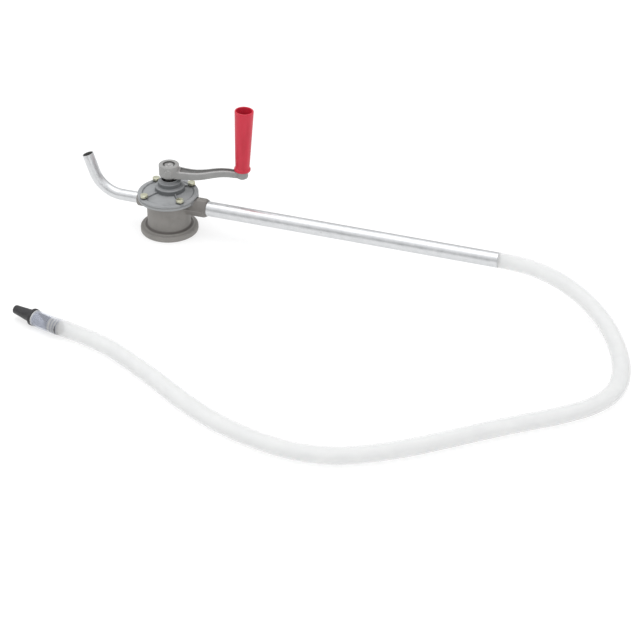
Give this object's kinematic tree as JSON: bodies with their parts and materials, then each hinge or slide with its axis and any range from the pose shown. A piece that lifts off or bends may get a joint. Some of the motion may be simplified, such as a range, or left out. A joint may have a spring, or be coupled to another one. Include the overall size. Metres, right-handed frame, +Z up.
{
  "type": "bilge pump",
  "caption": "Hand-cranked rotary vane pump on a round base with a bent spout, straight suction tube, clear hose and tapered nozzle; the crank turns the rotor and the grip spins.",
  "frame": {"origin": "centre of the round base's underside, which stands on the floor or a bench", "axes": "+Z up the pump along its casting, +X out along the suction tube from the inlet, so the spout points to -X"},
  "size_m": [0.8653, 0.5354, 0.1969],
  "materials": {
    "body_paint": "satin grey paint over a sand-cast surface",
    "cover_paint": "satin bluish grey paint, smoother than the body",
    "crank_casting": "satin grey paint over a casting, worn along the rims",
    "bare_aluminium": "bare drawn tube, satin with faint lengthwise streaks",
    "yellow_zinc": "pale yellow zinc plating",
    "steel": "bright turned steel",
    "rotor_iron": "machined cast iron",
    "bush_brass": "turned brass",
    "red_plastic": "satin moulded plastic",
    "black_plastic": "soft moulded plastic",
    "rubber": "moulded rubber",
    "gasket_fibre": "pressed fibre sheet",
    "vane_plastic": "machined laminate",
    "clear_hose": "milky clear flexible PVC"
  },
  "bodies": {
    "root": {"pump_body": "body_paint", "cover": "cover_paint", "cover_gasket": "gasket_fibre", "shaft_seal": "rubber", "upper_bush": "bush_brass", "lower_bush": "bush_brass", "cover_bolt_1": "yellow_zinc", "cover_bolt_2": "yellow_zinc", "cover_bolt_3": "yellow_zinc", "cover_bolt_4": "yellow_zinc", "spring_washer_1": "yellow_zinc", "spring_washer_2": "yellow_zinc", "spring_washer_3": "yellow_zinc", "spring_washer_4": "yellow_zinc", "suction_tube": "bare_aluminium", "spout_tube": "bare_aluminium", "hose": "clear_hose", "nozzle": "black_plastic"},
    "crank": {"shaft": "steel", "rotor": "rotor_iron", "rotor_pin": "steel", "vane_spring_1": "steel", "vane_spring_2": "steel", "vane_spring_3": "steel", "vane_spring_4": "steel", "crank_arm": "crank_casting", "crank_pin": "steel", "grip_spindle": "steel", "spindle_washer": "yellow_zinc"},
    "grip": {"grip": "red_plastic"},
    "sliding_vane_1": {"vane_1": "vane_plastic"},
    "sliding_vane_2": {"vane_2": "vane_plastic"},
    "sliding_vane_3": {"vane_3": "vane_plastic"},
    "sliding_vane_4": {"vane_4": "vane_plastic"}
  },
  "joints": [
    {"name": "crank_turn", "type": "hinge", "parent": "root", "child": "crank", "pos_m": [0.0014, 0.0043, 0.06], "axis": [0, 0, 1], "continuous": true},
    {"name": "grip_spin", "type": "hinge", "parent": "crank", "child": "grip", "pos_m": [0.10439, 0.03579, 0.0984], "axis": [0.0467, 0.0143, 0.9988], "continuous": true},
    {"name": "vane_1_slide", "type": "slide", "parent": "crank", "child": "sliding_vane_1", "axis": [0.9563, 0.2924, 0], "range_m": [-0.002, 0], "stiffness_N_per_m": 150, "springref_m": 0.002},
    {"name": "vane_2_slide", "type": "slide", "parent": "crank", "child": "sliding_vane_2", "axis": [-0.2924, 0.9563, 0], "range_m": [-0.002, 0], "stiffness_N_per_m": 150, "springref_m": 0.002},
    {"name": "vane_3_slide", "type": "slide", "parent": "crank", "child": "sliding_vane_3", "axis": [-0.9563, -0.2924, 0], "range_m": [-0.002, 0], "stiffness_N_per_m": 150, "springref_m": 0.002},
    {"name": "vane_4_slide", "type": "slide", "parent": "crank", "child": "sliding_vane_4", "axis": [0.2924, -0.9563, 0], "range_m": [-0.002, 0], "stiffness_N_per_m": 150, "springref_m": 0.002}
  ]
}
